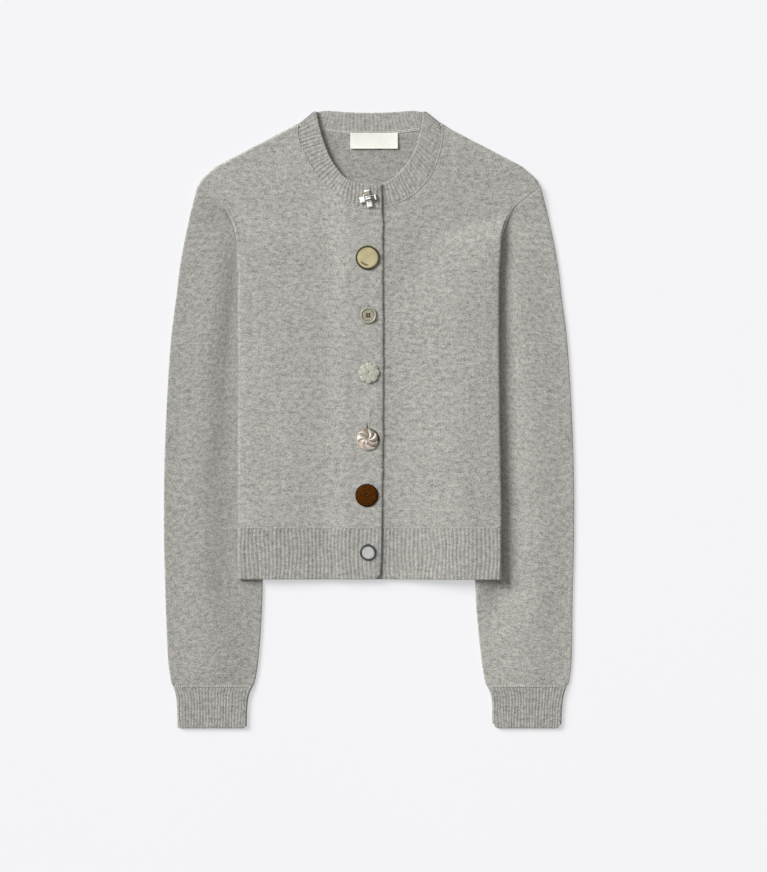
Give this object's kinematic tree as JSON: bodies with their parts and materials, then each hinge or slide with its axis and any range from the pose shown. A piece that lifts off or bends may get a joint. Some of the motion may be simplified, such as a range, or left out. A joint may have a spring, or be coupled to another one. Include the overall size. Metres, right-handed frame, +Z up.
{
  "type": "button cardigan",
  "caption": "Ribbed crew-neck cardigan in grey melange knit, closed down the front with unlike buttons and laid flat with its front up.",
  "frame": {"origin": "under the middle of the outline, on the surface that the cardigan lies on", "axes": "+Y from the hem to the neck, +Z up out of the front, +X towards the wearer's left"},
  "size_m": [0.451, 0.6798, 0.0145],
  "materials": {
    "grey_knit": "plain knit, melange grey, soft and matt",
    "grey_rib": "rib knit, melange grey, soft and matt",
    "label_cloth": "close woven, cream, bare",
    "clear_stones": "clear cut stones in a silver setting",
    "gold_metal": "polished, with a darkened rim",
    "dark_horn": "dark olive horn effect, polished",
    "pearl": "pearl white, glossy",
    "rose_glass": "moulded, faceted, rose tint",
    "brown_leather": "dark brown, grooved rings, satin",
    "silver_metal": "aged silver rim round a pale stone"
  },
  "bodies": {
    "root": {"back_panel": "grey_knit", "front_left": "grey_knit", "front_right": "grey_knit", "sleeve_left": "grey_knit", "sleeve_right": "grey_knit", "cuff_left": "grey_rib", "cuff_right": "grey_rib", "hem_back": "grey_rib", "hem_front_left": "grey_rib", "hem_front_right": "grey_rib", "neckband": "grey_rib", "neck_label": "label_cloth", "button_crystal": "clear_stones", "button_dome": "gold_metal", "button_horn": "dark_horn", "button_flower": "pearl", "button_pinwheel": "rose_glass", "button_leather": "brown_leather", "button_cabochon": "silver_metal"}
  },
  "joints": []
}
